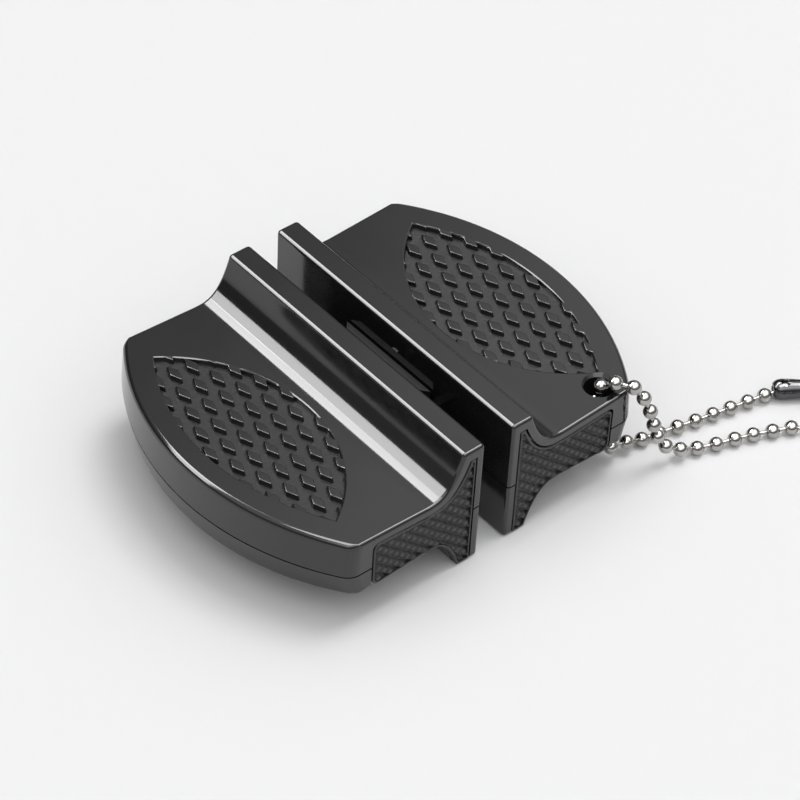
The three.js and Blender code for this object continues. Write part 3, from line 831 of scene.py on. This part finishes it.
def makeShell(name, node, up):
    body = makeHalf(-1, up)
    carve(body, makeHalf(1, up), "UNION")
    addRibs(body, up)
    carve(body, makeBores(up), "DIFFERENCE")
    cutChainHole(body, up)
    for side in (-1, 1):
        for end in (-1, 1):
            seat = newObject("seat", makePadSlab(side, end, pad["gap"], shell["margin"]))
            carve(body, seat, "DIFFERENCE")
    cutAtSeam(body, up)
    body.name = name
    body.data.name = name
    joinFlats(body)
    smoothShading(body, shell["smooth"])
    markGrip(body, up)
    even = body.modifiers.new("evenNormals", "WEIGHTED_NORMAL")
    even.keep_sharp = True
    even.weight = shell["evenWeight"]
    finishPiece(body, "body", finish["shell"], [node])
    print(name, "faces:", len(body.data.polygons))


makeShell("shell_upper", "upper_shell", True)
makeShell("shell_lower", "lower_shell", False)


def makePad(name, node, side, end):
    p = pad
    bm = makePadSlab(side, end, 0.0, p["proud"] - p["edge"])
    roundCap(bm, end, p["edge"], p["edgeSteps"])
    piece = newObject(name, bm)
    faceY = end * (endY + p["proud"] - p["bump"])
    pocket = prism([(x, faceY, z) for x, z in padOutline(side, -p["border"])],
                   (0, end * 2 * p["bump"], 0))
    carve(piece, newObject("pocket", pocket), "DIFFERENCE")
    knurls = bmesh.new()
    outline = padOutline(side, 0.0)
    xs = [x for x, z in outline]
    zs = [z for x, z in outline]
    columns = math.ceil((max(xs) - min(xs)) / p["pitchX"]) + 1
    rows = math.ceil((max(zs) - min(zs)) / p["pitchZ"]) + 1
    lift = Matrix.Rotation(-end * math.pi / 2, 4, "X")
    size = Matrix.Diagonal((p["pitchX"] / 2, p["pitchZ"], 1.0, 1.0))
    y = faceY + end * (p["bump"] - p["bumpSink"]) / 2
    for row in range(rows):
        for column in range(columns):
            x = min(xs) + (column + (0.5 if row % 2 else 0.0)) * p["pitchX"]
            z = min(zs) + row * p["pitchZ"]
            place = Matrix.Translation((x, y, z)) @ lift @ size
            bmesh.ops.create_cone(knurls, cap_ends=True, segments=4, radius1=p["bumpBase"],
                                  radius2=p["bumpTop"], depth=p["bump"] + p["bumpSink"], matrix=place)
    bmesh.ops.recalc_face_normals(knurls, faces=knurls.faces[:])
    bumps = newObject("knurls", knurls)
    trimLine = padOutline(side, -p["border"] - p["trim"])
    trim = prism([(x, faceY - end * p["bump"], z) for x, z in trimLine], (0, end * p["bump"] * 3, 0))
    carve(bumps, newObject("trim", trim), "INTERSECT")
    carve(piece, bumps, "UNION")
    smoothShading(piece, p["smooth"])
    finishPiece(piece, "body", finish["pad"], [node])


for endName, end in (("front", -1), ("back", 1)):
    for sideName, side in (("left", -1), ("right", 1)):
        makePad(f"pad_{endName}_{sideName}", f"grip_pad_{endName}_{sideName}", side, end)
print("pads made")

# small parts keep the frame's shape, with a soft edge
small = {
    "merge": 0.001 * mm,
    "flat": 1.0,
    "smooth": 30,
    "softEdge": 0.06 * mm,
    "plateEdge": 0.05 * mm,
}


def soften(node, name, material, width):
    bm = bmesh.new()
    bm.from_mesh(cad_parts[node].data)
    bmesh.ops.remove_doubles(bm, verts=bm.verts[:], dist=small["merge"])
    flat = math.radians(small["flat"])
    bmesh.ops.dissolve_limit(bm, angle_limit=flat, verts=bm.verts[:], edges=bm.edges[:])
    piece = newObject(name, bm)
    smoothShading(piece, small["smooth"])
    softEdges(piece, width)
    finishPiece(piece, "body", material, [node])


for grade in ("coarse", "fine"):
    soften(f"{grade}_insert", f"insert_{grade}", finish["insert"], small["softEdge"])
for sideName in ("left", "right"):
    soften(f"carbide_plate_{sideName}", f"plate_{sideName}",
           finish["carbide"], small["plateEdge"])
    soften(f"ceramic_rod_{sideName}", f"rod_{sideName}",
           finish["ceramic"], small["softEdge"])
    for endName in ("front", "back"):
        soften(f"case_screw_{endName}_{sideName}", f"screw_{endName}_{sideName}",
               finish["screw"], small["softEdge"])
print("inserts, abrasives and screws made")

# floor and studio light
studio = {
    "floorSize": 6.0,
    "floorLevel": -0.02 * mm,
    "floorColour": (0.9, 0.9, 0.904),
    "floorSpecular": 0.1,
    "floorRoughness": 0.6,
    "overhead": 1.0,  # the room is bright above, dim at the sides and behind
    "sides": 0.25,
    "behind": 0.35,
    "dimBelow": (0.4, 0.62),
    "dimBehind": (0.5, 0.6),
    "lamps": [
        # name, direction and distance from the object, direction of the long side, length, breadth,
        # brightness, and what it lights: gloss for reflections alone, dull for soft surfaces alone
        ("topSoftbox", (-0.044, 0.534, 0.844), 0.9, (1.0, 0.0, 0.05), 0.48, 0.26, 12.5, "gloss"),
        ("leftSoftbox", (-0.543, 0.534, 0.647), 0.9, (0.766, 0.0, 0.643), 0.555, 0.26, 9.0, "gloss"),
        ("ceilingSoftbox", (0.08, -0.1, 0.99), 0.9, (1.0, 0.0, 0.0), 1.1, 0.45, 8.0, "gloss"),
        ("keySoftbox", (-0.15, -0.55, 0.82), 1.8, (1.0, 0.0, 0.0), 3.0, 0.9, 1.7, "gloss"),
        ("roofSoftbox", (0.3, -0.02, 0.95), 1.8, (1.0, 0.0, 0.0), 0.8, 0.6, 6.0, "dull"),
    ],
}


def makeFloor():
    bm = bmesh.new()
    bmesh.ops.create_grid(bm, x_segments=1, y_segments=1, size=studio["floorSize"] / 2,
                          matrix=Matrix.Translation((0, 0, studio["floorLevel"])))
    floor = newObject("studioFloor", bm)
    material, tree, shader = startMaterial("paleFloor", {
        "Specular IOR Level": studio["floorSpecular"],
        "Roughness": studio["floorRoughness"],
        "Base Color": (*studio["floorColour"], 1.0),
    })
    floor.data.materials.append(material)


def makeWorld():
    world = bpy.data.worlds.new("studioWorld")
    world.use_nodes = True
    tree = world.node_tree
    back = tree.nodes["Background"]
    back.inputs["Color"].default_value = (1.0, 1.0, 1.0, 1.0)
    compass = tree.nodes.new("ShaderNodeTexCoord")
    axes = tree.nodes.new("ShaderNodeSeparateXYZ")
    tree.links.new(compass.outputs["Generated"], axes.inputs["Vector"])
    levels = []
    for axis, span, low, high in (("Z", studio["dimBelow"], studio["sides"], studio["overhead"]),
                                  ("Y", studio["dimBehind"], 1.0, studio["behind"])):
        fade = spreadNode(tree.nodes, span, low, high)
        fade.interpolation_type = "SMOOTHSTEP"
        tree.links.new(axes.outputs[axis], fade.inputs["Value"])
        levels.append(fade.outputs["Result"])
    tree.links.new(productNode(tree, *levels), back.inputs["Strength"])
    bpy.context.scene.world = world


def makeLamps():
    for name, direction, distance, along, length, breadth, brightness, lights in studio["lamps"]:
        light = bpy.data.lights.new(name, "AREA")
        light.shape = "RECTANGLE"
        light.size = length
        light.size_y = breadth
        light.energy = brightness * math.pi * length * breadth
        lamp = bpy.data.objects.new(name, light)
        bpy.context.scene.collection.objects.link(lamp)
        aim = Vector(direction).normalized()
        across = aim.cross(Vector(along)).normalized()
        turn = Matrix((across.cross(aim), across, aim)).transposed().to_4x4()
        lamp.matrix_world = Matrix.Translation(aim * distance) @ turn
        lamp.visible_diffuse = lights != "gloss"
        lamp.visible_glossy = lights != "dull"


makeFloor()
makeWorld()
makeLamps()
bpy.context.scene.view_settings.view_transform = "Standard"
print("studio lit")
